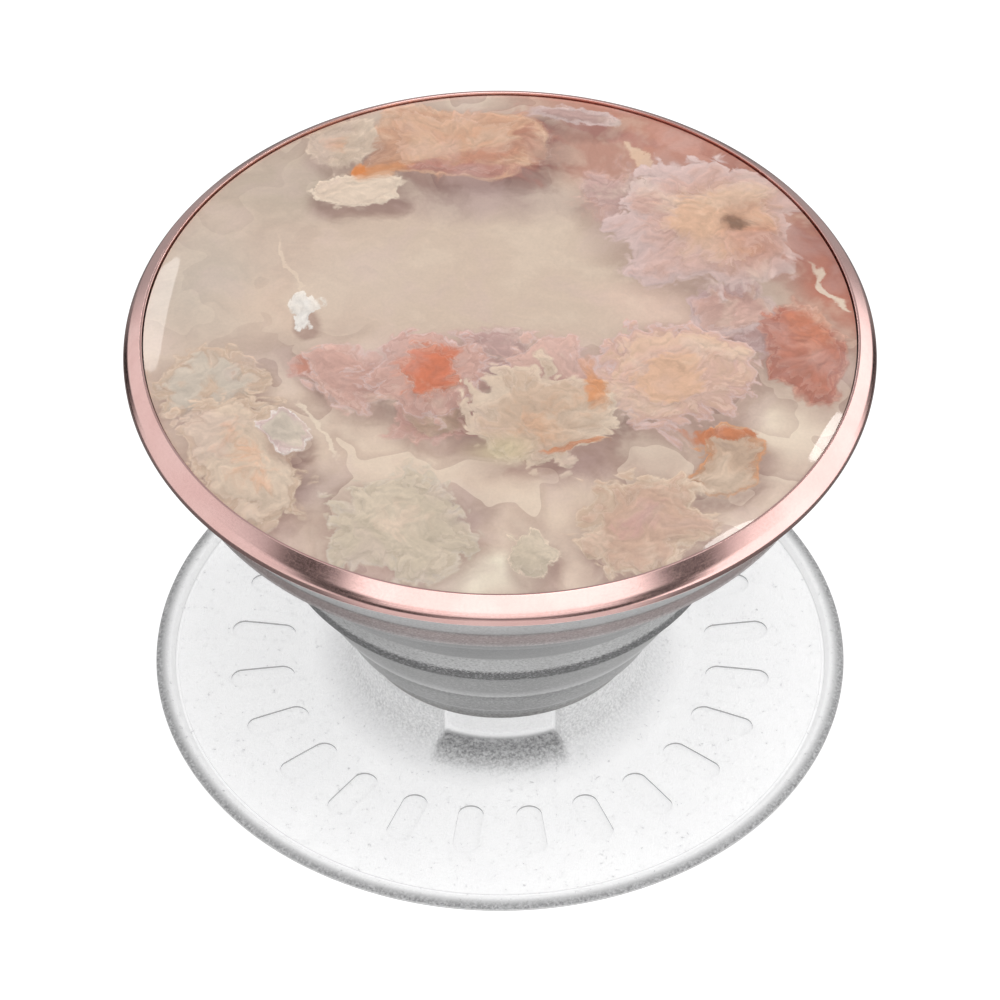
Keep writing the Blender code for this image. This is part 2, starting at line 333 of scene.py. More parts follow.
def stadium_cutter(name, length, width, depth, turn, distance, height):
    """A round-ended slot that points at the axis, turned about it."""
    bm = bmesh.new()
    bmesh.ops.create_cone(
        bm,
        cap_ends=True,
        segments=40,
        radius1=width / 2 * MM,
        radius2=width / 2 * MM,
        depth=depth * MM,
    )
    stretch = (length - width) / 2 * MM
    for vert in bm.verts:
        if abs(vert.co.x) > TINY * MM:
            vert.co.x += math.copysign(stretch, vert.co.x)
    place = Matrix.Rotation(turn, 4, "Z") @ Matrix.Translation((distance * MM, 0, height * MM))
    bmesh.ops.transform(bm, matrix=place, verts=bm.verts)
    mesh = bpy.data.meshes.new(name)
    bm.to_mesh(mesh)
    bm.free()
    obj = bpy.data.objects.new(name, mesh)
    bpy.context.scene.collection.objects.link(obj)
    return obj


def window_cutter(middle):
    """A sector of a ring that cuts the collar back to its inner tube."""
    outside, above = COLLAR + 4, COLLAR_TOP + 1
    section = [(outside, above), (outside, WINDOW_FLOOR), (TUBE, WINDOW_FLOOR), (TUBE, above)]
    bm = bmesh.new()
    verts = [bm.verts.new((r * MM, 0, z * MM)) for r, z in section]
    face = bm.faces.new(verts)
    turn = Matrix.Rotation(math.radians(middle - WINDOW_HALF_ANGLE), 4, "Z")
    bmesh.ops.transform(bm, matrix=turn, verts=bm.verts)
    sweep = math.radians(2 * WINDOW_HALF_ANGLE)
    bmesh.ops.spin(bm, geom=[face], axis=(0, 0, 1), cent=(0, 0, 0), angle=sweep, steps=40)
    bmesh.ops.recalc_face_normals(bm, faces=bm.faces)
    mesh = bpy.data.meshes.new("window")
    bm.to_mesh(mesh)
    bm.free()
    obj = bpy.data.objects.new("window", mesh)
    bpy.context.scene.collection.objects.link(obj)
    return obj


def frosted_material():
    """Clear plastic with a spark-eroded frost: white on top, with painted shade in grey where it slopes
    away, and a painted glow from its own emission.
    """
    material, tree, shader = new_material(
        "frosted_clear", Roughness=0.32, IOR=1.5, Emission_Strength=0.5
    )
    place = millimetres(tree)
    split = tree.node("ShaderNodeSeparateXYZ")
    tree.put(split.inputs[0], place)
    flat = tree.vector("MULTIPLY", place, (1, 1, 0))
    distance = tree.vector("LENGTH", flat)
    normal = tree.node("ShaderNodeNewGeometry").outputs["Normal"]
    facing = tree.node("ShaderNodeSeparateXYZ")
    tree.put(facing.inputs[0], normal)
    steep = tree.step(facing.outputs["Z"], 0.97, 0.4)
    fine = tree.noise(place, 6.5, 5, 0.7).outputs["Fac"]
    specks = tree.noise(place, 3.2, 6, 0.8).outputs["Fac"]
    speck_mask = tree.step(specks, 0.57, 0.66)
    soft = tree.noise(place, 0.35, 3).outputs["Fac"]
    white = tree.mix(soft, rgb(246, 246, 247), rgb(255, 255, 255))
    speckled = tree.mix(tree.math("MULTIPLY", speck_mask, 0.8), white, rgb(192, 192, 193))
    ragged = tree.math("ADD", distance, tree.math("MULTIPLY_ADD", fine, 0.5, -0.25))
    # Painted shade, grainy, on the outer edge of the lip, where the clear plastic turns grey.
    edge = tree.step(ragged, *EDGE_FROM)
    edge_shade_grey = tree.mix(tree.step(fine, 0.3, 0.7), rgb(84, 84, 86), rgb(180, 180, 181))
    body = tree.mix(tree.math("MULTIPLY", edge, 0.9), speckled, edge_shade_grey)
    # Round the collar the frost's grain shows with painted shade, greyer on the flare.
    collar = tree.step(ragged, *COLLAR_FADE)
    collar_grain_and_shade = tree.mix(fine, rgb(166, 166, 167), rgb(232, 232, 233))
    body = tree.mix(tree.math("MULTIPLY", collar, 0.7), body, collar_grain_and_shade)
    # Painted shade on every face that slopes away: a grainy grey, darker on the walls of the marks and
    # pale on the lip's inner side.
    grain = tree.mix(tree.step(fine, 0.25, 0.75), rgb(164, 164, 165), rgb(226, 226, 226))
    grey = tree.mix(tree.step(distance, *MARKS_FROM), grain, rgb(112, 112, 113))
    grey = tree.mix(tree.step(distance, *LIP_FROM), grey, rgb(214, 214, 214))
    colour = tree.mix(tree.math("MULTIPLY", steep, 0.75), body, grey)
    tube = tree.mix(fine, rgb(212, 212, 213), rgb(250, 250, 250))
    colour = tree.mix(tree.step(distance, TUBE + 0.5, TUBE + 0.2), colour, tube)
    # Painted shadow on the window ledges under the tube, fading outwards down the flare.
    shade = tree.mix(tree.step(fine, 0.3, 0.7), rgb(100, 100, 101), rgb(180, 180, 181))
    across, along = (tree.math("ABSOLUTE", split.outputs[axis]) for axis in "XY")
    turn = tree.math("ARCTAN2", across, along)
    ledge = tree.step(turn, math.radians(WINDOW_HALF_ANGLE + 2), math.radians(WINDOW_HALF_ANGLE - 2))
    ledge = tree.math("MULTIPLY", ledge, tree.step(ragged, *LEDGE_FROM))
    ledge = tree.math("MULTIPLY", ledge, tree.step(ragged, *LEDGE_FADE))
    low_down = tree.step(split.outputs["Z"], WINDOW_FLOOR + 0.06, WINDOW_FLOOR + 0.03)
    ledge = tree.math("MULTIPLY", ledge, low_down)
    colour = tree.mix(ledge, colour, shade)
    # Painted light: the plastic glows with its own colour, and its base colour is darkened to match.
    tree.put(shader.inputs["Base Color"], tree.mix(0.34, colour, rgb(0, 0, 0)))
    tree.put(shader.inputs["Emission Color"], colour)
    tree.put(shader.inputs["Roughness"], tree.step(fine, 0.3, 0.7, 0.28, 0.5))
    bump = tree.bump(fine, 0.7, 0.0001)
    tree.put(shader.inputs["Normal"], bump)
    return material


def make_platform():
    platform = lathe("platform_shell", platform_section())
    cutters = [window_cutter(-90), window_cutter(90)]
    depth, height = 4 * MARK_DEPTH, FLAT + MARK_DEPTH
    for k in range(MARKS):
        turn = math.tau * (k + 0.5) / MARKS
        cutters.append(stadium_cutter("mark", MARK_LENGTH, MARK_WIDTH, depth, turn, MARK_RING, height))
    cut(platform, cutters)
    crisp(platform, 30)
    dress(platform, frosted_material(), "base", "frosted_plastic", "platform")


# ---------------------------------------------------------------- accordion
WALL = 0.4
NECK = (7.6, 8.33, 5.9)
NECK_FOOT_FLARE = 0.26
WALL_FOOT = {1: 8.80, 2: 10.05, 3: 12.15, 4: 12.62}
WALL_HEAD = {1: 9.58, 2: 11.66, 3: 12.13, 4: 15.30}
HEAD_FOOT = 15.76
HEAD_SHOULDER = (17.5, 20.5)


def banded_material(name, bands, grain=0.25, roughness=0.36):
    """Grey elastomer with painted light and shade in rings: bands are (height in mm, colour), lowest
    first.
    """
    material, tree, shader = new_material(name, Roughness=roughness, IOR=1.48)
    place = millimetres(tree)
    split = tree.node("ShaderNodeSeparateXYZ")
    tree.put(split.inputs[0], place)
    streaks = tree.vector("MULTIPLY", place, (1, 1, 3))
    fine = tree.noise(streaks, 6.5, 5, 0.75).outputs["Fac"]
    broad = tree.noise(place, 0.25, 2).outputs["Fac"]
    ragged = tree.math("MULTIPLY_ADD", fine, grain, split.outputs["Z"])
    ragged = tree.math("SUBTRACT", ragged, grain / 2)
    bottom, top = bands[0][0], bands[-1][0]
    share = tree.step(ragged, bottom, top, smooth=False)
    stops = [((height - bottom) / (top - bottom), colour) for height, colour in bands]
    colour = tree.ramp(share, stops)
    colour = tree.mix(tree.step(fine, 0.48, 0.64, 0, 0.4), colour, rgb(246, 246, 246))
    colour = tree.mix(tree.step(fine, 0.5, 0.34, 0, 0.4), colour, rgb(60, 60, 62))
    colour = tree.mix(tree.step(broad, 0.35, 0.65, 0, 0.1), colour, rgb(90, 90, 92))
    tree.put(shader.inputs["Base Color"], colour)
    tree.put(shader.inputs["Roughness"], tree.step(fine, 0.3, 0.7, roughness - 0.06, roughness + 0.12))
    tree.put(shader.inputs["Normal"], tree.bump(fine, 0.18, 0.00005))
    return material


def wall_section(foot, foot_z, head, head_z):
    middle_r, middle_z = (foot + head) / 2, (foot_z + head_z) / 2
    return rounded(
        [
            (head, head_z, 0.1),
            (middle_r + 0.04, middle_z, 0.6),
            (foot, foot_z, 0.12),
            (foot - WALL, foot_z, 0.08),
            (head - WALL, head_z, 0.08),
        ]
    )


def make_accordion():
    # Greys for the walls' painted shade, their own grey and painted light.
    dark, mid, light = rgb(126, 126, 127), rgb(156, 156, 156), rgb(208, 208, 208)
    neck_r, neck_top_r, neck_top = NECK
    shelf = low("accordion_foot")
    sleeve, bead, bead_top = 5.85, 6.5, 1.75
    neck_foot = COLLAR_TOP + 0.05
    neck = rounded(
        [
            (neck_top_r, neck_top, 0.08),
            (neck_r + NECK_FOOT_FLARE, neck_foot, 0.15),
            (sleeve, neck_foot, 0),
            (sleeve, bead_top, 0.05),
            (bead, bead_top, 0.1),
            (bead, shelf, 0.1),
            (5.2, shelf, 0),
            (5.2, neck_foot + WALL, 0.1),
            (neck_r - WALL, neck_foot + WALL, 0.15),
            (neck_top_r - WALL, neck_top, 0.08),
        ]
    )
    # Painted shade: the neck darkens towards its foot, where it meets the collar.
    neck_bands = [
        (neck_foot, rgb(130, 129, 127)),
        (neck_foot + 0.5, rgb(136, 135, 133)),
        (neck_foot + 0.6, rgb(150, 150, 150)),
        (neck_top, rgb(156, 156, 156)),
    ]
    dress(
        lathe("accordion_neck", neck),
        banded_material("accordion_neck", neck_bands, 0.05),
        "base",
        "accordion",
        "accordion_foot",
    )
    # Each wall's bands, as shares of its height: pale lines are painted highlights on the edges, dark
    # bands painted shade where a face turns down or lies under the next wall.
    walls = {
        1: [(0.0, light), (0.08, mid), (0.6, mid), (1.0, dark)],
        2: [(0.0, dark), (0.05, light), (0.3, mid), (0.75, mid), (1.0, dark)],
        3: [(0.0, rgb(108, 108, 109)), (0.3, rgb(106, 106, 107)), (0.42, light), (1.0, light)],
        4: [(0.0, light), (0.1, mid), (1.0, dark)],
    }
    for number, shares in walls.items():
        node = f"accordion_wall_{number}"
        foot_z, head_z = low(node), high(node)
        bands = [(foot_z + share * (head_z - foot_z), colour) for share, colour in shares]
        section = wall_section(WALL_FOOT[number], foot_z, WALL_HEAD[number], head_z)
        material = banded_material(node, bands, 0.9)
        dress(lathe(f"accordion_ring_{number}", section), material, f"wall_{number}", "accordion", node)

    shoulder_r, shoulder_z = HEAD_SHOULDER
    foot_z, top_z = low("accordion_head"), high("accordion_head")
    head = rounded(
        [
            (radius("accordion_head"), top_z, 0.06),
            (shoulder_r + 0.06, shoulder_z + 0.2, 0.1),
            (shoulder_r + 0.1, shoulder_z + 0.02, 0.06),
            (shoulder_r - 0.1, shoulder_z - 0.1, 0.1),
            (HEAD_FOOT, foot_z, 0.12),
            (HEAD_FOOT - WALL, foot_z, 0.08),
            (16.98, shoulder_z, 0.2),
            (16.98, top_z, 0),
        ]
    )
    # The crown's bands are painted shade just below the shoulder and a painted highlight along it, then
    # a pinkish grey towards the top.
    head_bands = [
        (foot_z, mid),
        (shoulder_z - 0.15, dark),
        (shoulder_z, rgb(202, 197, 197)),
        (shoulder_z + 0.25, rgb(170, 155, 154)),
        (top_z - 0.3, rgb(174, 156, 154)),
        (top_z, rgb(148, 141, 141)),
    ]
    material = banded_material("accordion_head", head_bands, 0.45)
    dress(lathe("accordion_crown", head), material, "head", "accordion", "accordion_head")


def make_webs():
    """Thin hinges between the walls."""
    tops = [(NECK[1], NECK[2])]
    tops += [(WALL_HEAD[n], high(f"accordion_wall_{n}")) for n in WALL_HEAD]
    feet = [(WALL_FOOT[n], low(f"accordion_wall_{n}")) for n in WALL_FOOT]
    feet.append((HEAD_FOOT, low("accordion_head")))
    # Painted shade: the hinges are dark grey, as they lie in the shade between the walls.
    grey = rgb(108, 108, 109)
    for number, ((low_r, low_z), (high_r, high_z)) in enumerate(zip(tops, feet), start=1):
        start_z, end_z = low_z - 0.1, high_z + 0.1
        inner_r, outer_r = low_r - 0.22, high_r - 0.2
        steps = 8
        line = []
        for i in range(steps + 1):
            t = i / steps
            swing = t * t * (3 - 2 * t)
            line.append((inner_r + (outer_r - inner_r) * swing, start_z + (end_z - start_z) * t))
        thick = 0.12
        section = [(r, z) for r, z in reversed(line)] + [(r - thick, z) for r, z in line]
        web = lathe(f"accordion_hinge_{number}", section)
        material = banded_material(web.name, [(start_z, grey), (end_z, grey)], 0.03)
        web.data.materials.append(material)
        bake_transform(web)
        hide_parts(f"accordion_web_{number}")


# ---------------------------------------------------------------- button and rim
def button_material():
    """Frosted grey plastic with painted light: its grey brightens from the lower edge upwards."""
    bottom, top = low("button_body"), high("button_body")
    bands = [
        (bottom, rgb(156, 151, 151)),
        (bottom + 0.35, rgb(188, 187, 187)),
        (top - 0.4, rgb(206, 205, 205)),
        (top, rgb(192, 190, 190)),
    ]
    return banded_material("button_plastic", bands, 0.6, 0.4)


def make_button():
    bottom, top = low("button_body"), high("button_body")
    edge, foot, bore = radius("button_body"), 17.95, 17.4
    floor = top - 0.7
    section = [(0, top)]
    corners = [
        (edge, top, 0.1),
        (foot + 0.62, bottom + 1.0, 1.2),
        (foot, bottom, 0.12),
        (bore, bottom, 0.06),
        (bore, floor, 0.2),
    ]
    corners = [(0.5, top, 0)] + corners + [(0.5, floor, 0)]
    section += rounded(corners)
    section.append((0, floor))
    dress(lathe("button_shell", section), button_material(), "button", "button_plastic", "button_body")


def rose_metal():
    """Polished anodised ring: a fine turned grain runs round it, and wear softens the gloss."""
    material, tree, shader = new_material("rose_metal", Metallic=1.0, Roughness=0.16)
    place = millimetres(tree)
    split = tree.node("ShaderNodeSeparateXYZ")
    tree.put(split.inputs[0], place)
    distance = tree.vector("LENGTH", tree.vector("MULTIPLY", place, (1, 1, 0)))
    section = tree.node("ShaderNodeCombineXYZ")
    tree.put(section.inputs[0], distance)
    tree.put(section.inputs[1], split.outputs["Z"])
    grooves = tree.noise(section.outputs[0], 26, 3, 0.6).outputs["Fac"]
    fine = tree.noise(place, 7, 4, 0.7).outputs["Fac"]
    smudge = tree.noise(place, 0.3, 3).outputs["Fac"]
    tint = tree.mix(tree.step(smudge, 0.35, 0.65), rgb(240, 196, 190), rgb(246, 205, 199))
    tint = tree.mix(tree.step(fine, 0.35, 0.8, 0, 0.12), tint, rgb(214, 160, 154))
    tree.put(shader.inputs["Base Color"], tint)
    turned = tree.step(grooves, 0.3, 0.7, 0, 0.06)
    rough = tree.math("ADD", tree.step(fine, 0.3, 0.75, 0.13, 0.2), turned)
    tree.put(shader.inputs["Roughness"], rough)
    tree.put(shader.inputs["Normal"], tree.bump(grooves, 0.06, 0.00003))
    return material


def make_rim():
    bottom, crest = low("rim_ring"), high("rim_ring")
    widest = radius("rim_ring")
    section = rounded(
        [
            (18.99, crest, 0.05),
            (19.62, crest - 0.58, 0.7),
            (widest + 0.005, crest - 0.98, 0.5),
            (widest - 0.03, crest - 1.42, 0.45),
            (19.45, bottom + 0.1, 0.12),
            (19.2, bottom, 0.06),
            (18.86, bottom, 0),
            (18.86, crest, 0.04),
        ],
        8,
    )
    dress(crisp(lathe("rose_rim", section, 360), 50), rose_metal(), "button", "rose_metal", "rim_ring")


# ---------------------------------------------------------------- stone face
FACE = 18.78


def dome_section():
    """Clear face: nearly flat in the middle, curving down to the rim like poured resin."""
    edge, top, bottom = high("stone_disc") + 0.42, high("resin_dome"), low("resin_dome")
    section = [(0, top)]
    for i in range(1, 41):
        share = (i / 40) ** 0.75
        fall = 0.55 * share**2 + 0.45 * share**14
        section.append((FACE * share, top - (top - edge) * fall))
    section.append((FACE, bottom))
    section.append((0, bottom))
    return section


NUDGE = 1e-7


class Agate:
    """Flowering agate, painted as plumes over a pale ground, in units of the face's radius.

    Along with the colour run three values of the plume on top: its own coordinates, how deep a
    point lies in it, and how far its surface leans to the light, which falls from the back.
    """

    def __init__(self):
        self.material, self.tree, self.shader = new_material(
            "flowering_agate", Roughness=0.34, Coat_Weight=1.0, Coat_Roughness=0.03, Coat_IOR=1.5
        )
        tree = self.tree
        place = tree.node("ShaderNodeTexCoord").outputs["Object"]
        self.flat = tree.vector("MULTIPLY", place, (1 / (FACE * MM), 1 / (FACE * MM), 0))
        soft = tree.vector("ADD", self.flat, self.wander(self.flat, 2.8, 2.0, 0.07))
        middle = self.wander(soft, 9.0, 2.0, 0.035)
        quick = self.wander(soft, 38.0, 3.0, 0.012)
        ragged = tree.vector("ADD", tree.vector("ADD", soft, middle), quick)
        self.puffs = self.billow(ragged)
        beyond = self.billow(tree.vector("ADD", ragged, (0, 0.014, 0)))
        self.lean = tree.math("SUBTRACT", self.puffs, beyond)
        self.fibre = tree.noise(ragged, 30, 5, 0.7, flat=True).outputs["Fac"]
        self.cloud = tree.noise(soft, 4.5, 4, 0.6, flat=True).outputs["Fac"]
        self.layers = tree.noise(soft, 2.1, 3, 0.5, flat=True).outputs["Fac"]
        # Everything below starts from places that lean on every field above, so a renderer works
        # out the fields first and keeps few values at a time.
        feather = tree.math("ADD", tree.math("ADD", self.fibre, self.cloud), self.layers)
        feather = tree.math("ADD", tree.math("ADD", feather, self.puffs), self.lean)
        reach = tree.math("MULTIPLY_ADD", feather, 0.012, -0.02)
        feather = tree.vector("SCALE", (1.0, -1.0, 0.0), scale=reach)
        self.soft = tree.vector("ADD", soft, feather)
        self.ragged = tree.vector("ADD", ragged, feather)
        self.colour = None
        self.local = tree.vector("SCALE", self.ragged, scale=5.0)
        self.depth = 2.0
        self.lift = 0.0

    def wander(self, at, scale, detail, reach):
        """A random offset of each point, the same each time."""
        field = self.tree.noise(at, scale, detail, 0.6, flat=True).outputs["Color"]
        centred = self.tree.vector("SUBTRACT", field, (0.5, 0.5, 0.5))
        level = self.tree.vector("MULTIPLY", centred, (1, 1, 0))
        return self.tree.vector("SCALE", level, scale=reach * 2)

    def billow(self, at):
        """Rounded puffs with creases between them, large ones first."""
        tree = self.tree
        total = 0.0
        for scale, weight in ((6.0, 0.5), (14.0, 0.34), (31.0, 0.2)):
            field = tree.noise(at, scale, 0, 0.5, flat=True).outputs["Fac"]
            puff = tree.math("ABSOLUTE", tree.math("MULTIPLY_ADD", field, 2, -1))
            total = tree.math("MULTIPLY_ADD", puff, weight, total)
        return total

    def span(self, centre, size, turn=0.0, at=None):
        """Place in an ellipse's own axes, as shares of its reach: distance, across, along, both."""
        tree = self.tree
        sine, cosine = math.sin(math.radians(turn)), math.cos(math.radians(turn))
        shift = tree.vector("SUBTRACT", at or self.ragged, (*centre, 0))
        across = tree.vector("DOT_PRODUCT", shift, (cosine / size[0], sine / size[0], 0))
        along = tree.vector("DOT_PRODUCT", shift, (-sine / size[1], cosine / size[1], 0))
        scaled = tree.node("ShaderNodeCombineXYZ")
        tree.put(scaled.inputs["X"], across)
        tree.put(scaled.inputs["Y"], along)
        return tree.vector("LENGTH", scaled.outputs[0]), across, along, scaled.outputs[0]

    def wash(self, centre, size, colour, strength=1.0, inner=0.3, turn=0.0):
        """A soft cloud of colour with no edge."""
        away = self.span(centre, size, turn, self.soft)[0]
        reach = self.tree.step(away, 1.0, inner, 0, strength)
        self.colour = self.tree.mix(reach, self.colour, colour)

    def stain(self, centre, size, colour, strength=1.0, turn=0.0, inner=0.55):
        """A ragged streak or spot of colour in what lies there."""
        away = self.span(centre, size, turn)[0]
        away = self.tree.math("MULTIPLY_ADD", self.puffs, -0.9, away)
        away = self.tree.math("MULTIPLY_ADD", self.fibre, 0.7, away)
        reach = self.tree.step(away, 1.15, inner, 0, strength)
        self.colour = self.tree.mix(reach, self.colour, colour)

    def plume(
        self,
        centre,
        size,
        tones,
        petals=0,
        wave=0.1,
        turn=0.0,
        shade=0.5,
        edge=0.15,
        puff=1.0,
        cover=1.0,
        square=False,
    ):
        """A mineral plume: a core, a body and a fringe with a pale lip, over its own shadow."""
        tree = self.tree
        core, body, fringe, lip = tones
        below = (centre[0] + 0.012, centre[1] - 0.05)
        around = self.span(below, (size[0] * 1.12, size[1] * 1.12), turn, self.soft)[0]
        shadow = tree.step(around, 1.35, 0.8, 0, shade)
        under = tree.mix(shadow, self.colour, SHADOW, "MULTIPLY")
        away, across, along, scaled = self.span(centre, size, turn)
        if square:
            away = tree.vector("LENGTH", tree.vector("MULTIPLY", scaled, scaled))
            away = tree.math("SQRT", away)
        if petals:
            angle = tree.math("ARCTAN2", along, across)
            bend = tree.math("MULTIPLY_ADD", self.cloud, 2.5, tree.math("MULTIPLY", angle, petals / 2))
            leaves = tree.math("ABSOLUTE", tree.math("SINE", bend))
            away = tree.math("MULTIPLY_ADD", leaves, -wave, away)
        depth = tree.math("MULTIPLY_ADD", tree.math("SUBTRACT", self.puffs, 0.2), -puff, away)
        inside = tree.step(depth, 1.0 + edge, 1.0 - edge, 0, cover)
        mottled = tree.math("MULTIPLY_ADD", tree.math("SUBTRACT", self.fibre, 0.5), 0.5, depth)
        stops = [(0.0, core), (0.3, body), (0.6, body), (0.86, fringe), (0.97, lip), (1.0, fringe)]
        self.colour = tree.mix(inside, under, tree.ramp(mottled, stops))
        own = tree.vector("SCALE", tree.vector("NORMALIZE", scaled), scale=2.2)
        raised = tree.node("ShaderNodeCombineXYZ")
        tree.put(raised.inputs["Z"], tree.math("MULTIPLY_ADD", depth, 1.3, 7 * centre[0]))
        own = tree.vector("ADD", own, raised.outputs[0])
        self.local = tree.mix(inside, self.local, own, data="VECTOR")
        self.depth = tree.mix(inside, self.depth, depth, data="FLOAT")
        lift = tree.math("MULTIPLY", along, away)
        self.lift = tree.mix(inside, self.lift, lift, data="FLOAT")
        # The next plume's place leans a hair on this one, so a renderer works through them in turn.
        self.ragged = tree.vector("ADD", self.ragged, tree.vector("SCALE", (NUDGE, 0, 0), scale=inside))

    def finish(self):
        """Fibres, ruffled edges and relief over whatever plume lies on top."""
        tree = self.tree
        colour = self.colour
        strands = tree.noise(self.local, 2.4, 4, 0.68).outputs["Fac"]
        grain = tree.noise(self.flat, 120, 3, 0.6, flat=True).outputs["Fac"]
        within = tree.step(self.depth, 1.12, 1.0)
        outer = tree.math("MULTIPLY", within, tree.step(self.depth, 0.45, 0.85))
        turns = tree.math("MULTIPLY_ADD", strands, 1.6, tree.math("MULTIPLY", self.depth, 3.0))
        ruffle = tree.math("FRACT", turns)
        crest = tree.math("MULTIPLY", tree.step(ruffle, 0.6, 1.0, 0, 0.16), outer)
        trough = tree.math("MULTIPLY", tree.step(ruffle, 0.4, 0.0, 0, 0.18), outer)
        colour = tree.mix(trough, colour, SHADOW, "MULTIPLY")
        colour = tree.mix(crest, colour, BLUSH)
        lilac_haze = tree.step(self.cloud, 0.5, 0.68, 0, 0.22)
        pale_haze = tree.step(self.cloud, 0.48, 0.34, 0, 0.26)
        colour = tree.mix(lilac_haze, colour, LILAC)
        colour = tree.mix(pale_haze, colour, IVORY)
        light = tree.math("MULTIPLY_ADD", self.lift, 0.07, tree.math("MULTIPLY", self.lean, 0.6))
        light = tree.math("MULTIPLY_ADD", tree.math("SUBTRACT", strands, 0.5), 0.14, light)
        light = tree.math("MULTIPLY_ADD", tree.math("SUBTRACT", self.fibre, 0.5), 0.34, light)
        light = tree.math("MULTIPLY", light, tree.step(self.depth, 1.9, 1.0, 0.22, 1.0))
        light = tree.math("MULTIPLY_ADD", tree.math("SUBTRACT", grain, 0.5), 0.13, light)
        colour = tree.vector("SCALE", colour, scale=tree.math("ADD", light, 1.0))
        colour = tree.vector("MULTIPLY", colour, WARMTH)
        tree.put(self.shader.inputs["Base Color"], colour)
        tree.put(self.shader.inputs["Roughness"], tree.step(self.fibre, 0.3, 0.7, 0.28, 0.42))
        return self.material


# The gloss coat's warm tint over the stone, and the stone's colours.
WARMTH = (0.93, 0.89, 0.845)
SHADOW = rgb(186, 164, 166)
BLUSH = rgb(238, 222, 216)
CREAM = rgb(229, 210, 193)
IVORY = rgb(237, 222, 205)
BEIGE = rgb(216, 196, 178)
TAN = rgb(205, 180, 160)
PUTTY = rgb(194, 168, 148)
SAGE = rgb(203, 190, 172)
STRAW = rgb(214, 200, 168)
MIST = rgb(206, 195, 183)
PEARL = rgb(238, 236, 234)
PEACH = rgb(222, 183, 157)
SLAB = rgb(213, 168, 141)
CLAY = rgb(190, 136, 126)
SALMON = rgb(200, 142, 124)
TERRACOTTA = rgb(190, 122, 102)
BRICK = rgb(178, 114, 98)
EMBER = rgb(212, 118, 82)
AMBER = rgb(212, 150, 106)
ROSE = rgb(214, 178, 168)
PINK = rgb(206, 166, 156)
MAUVE = rgb(194, 162, 158)
LILAC = rgb(216, 192, 191)
DUSK = rgb(184, 161, 155)
UMBER = rgb(138, 104, 84)


def paint_ground(stone):
    """Translucent layers: clouds of colour, and folds that darken softly and end in an edge."""
    tree = stone.tree
    stone.colour = tree.mix(tree.step(stone.cloud, 0.35, 0.65), rgb(204, 182, 169), rgb(222, 202, 186))
    stone.wash((-0.6, 0.6), (0.4, 0.3), rgb(196, 182, 167), 0.8, 0.1)
    stone.wash((-0.86, 0.2), (0.3, 0.4), MIST, 0.8, 0.1)
    stone.wash((-0.62, 0.12), (0.26, 0.16), rgb(225, 203, 186), 0.7, 0.1)
    stone.wash((-0.6, -0.1), (0.28, 0.16), rgb(188, 166, 155), 0.8, 0.1)
    stone.wash((0.05, -0.08), (0.5, 0.14), rgb(206, 178, 167), 0.7, 0.1)
    stone.wash((0.62, -0.02), (0.3, 0.2), rgb(214, 184, 172), 0.7, 0.2)
    stone.wash((-0.33, -0.5), (0.36, 0.16), CREAM, 1.0, 0.2, -12)
    stone.wash((0.14, -0.64), (0.42, 0.15), CREAM, 1.0, 0.2, -14)
    stone.wash((0.78, -0.34), (0.22, 0.22), IVORY, 1.0, 0.2, 30)
    stone.wash((-0.5, -0.62), (0.2, 0.14), rgb(186, 166, 157), 0.7, 0.1)
    stone.wash((-0.1, -0.72), (0.14, 0.14), rgb(184, 162, 154), 0.7, 0.1)
    stone.wash((0.26, -0.55), (0.2, 0.1), rgb(192, 166, 154), 0.8, 0.1)
    stone.wash((-0.08, -0.94), (0.26, 0.12), rgb(240, 232, 214), 1.0, 0.3)
    fold = tree.math("FRACT", tree.math("MULTIPLY", stone.layers, 6.5))
    middle = stone.span((0.0, 0.27), (0.62, 0.34), 0, stone.soft)[0]
    shy = tree.step(middle, 0.75, 1.2)
    misty = stone.span((-0.75, 0.35), (0.5, 0.55), 0, stone.soft)[0]
    shy = tree.math("MULTIPLY", shy, tree.step(misty, 0.7, 1.1, 0.3, 1.0))
    dark = tree.math("MULTIPLY", tree.step(fold, 0.6, 0.0, 0, 0.3), shy)
    bright = tree.math("MULTIPLY", tree.step(fold, 0.6, 0.97, 0, 0.38), shy)
    stone.colour = tree.mix(dark, stone.colour, SHADOW, "MULTIPLY")
    stone.colour = tree.mix(bright, stone.colour, IVORY)
    stone.wash((0.0, 0.24), (0.62, 0.36), rgb(216, 197, 181), 1.0, 0.5)
    stone.wash((-0.38, 0.22), (0.3, 0.2), rgb(221, 204, 190), 0.7, 0.1)
    stone.wash((0.42, 0.1), (0.26, 0.13), rgb(230, 203, 189), 0.85, 0.1, -24)
    stone.wash((-0.05, 0.53), (0.42, 0.13), DUSK, 0.8, 0.15)
    stone.wash((0.5, 0.86), (0.66, 0.26), SALMON, 1.0, 0.4, -30)
    stone.wash((0.93, 0.3), (0.2, 0.5), TERRACOTTA, 1.0, 0.35, 18)
    stone.wash((0.24, 0.72), (0.3, 0.16), rgb(192, 142, 127), 0.9, 0.3, -8)
    stone.wash((0.4, 0.95), (0.2, 0.07), rgb(222, 190, 184), 0.8, 0.1, -20)


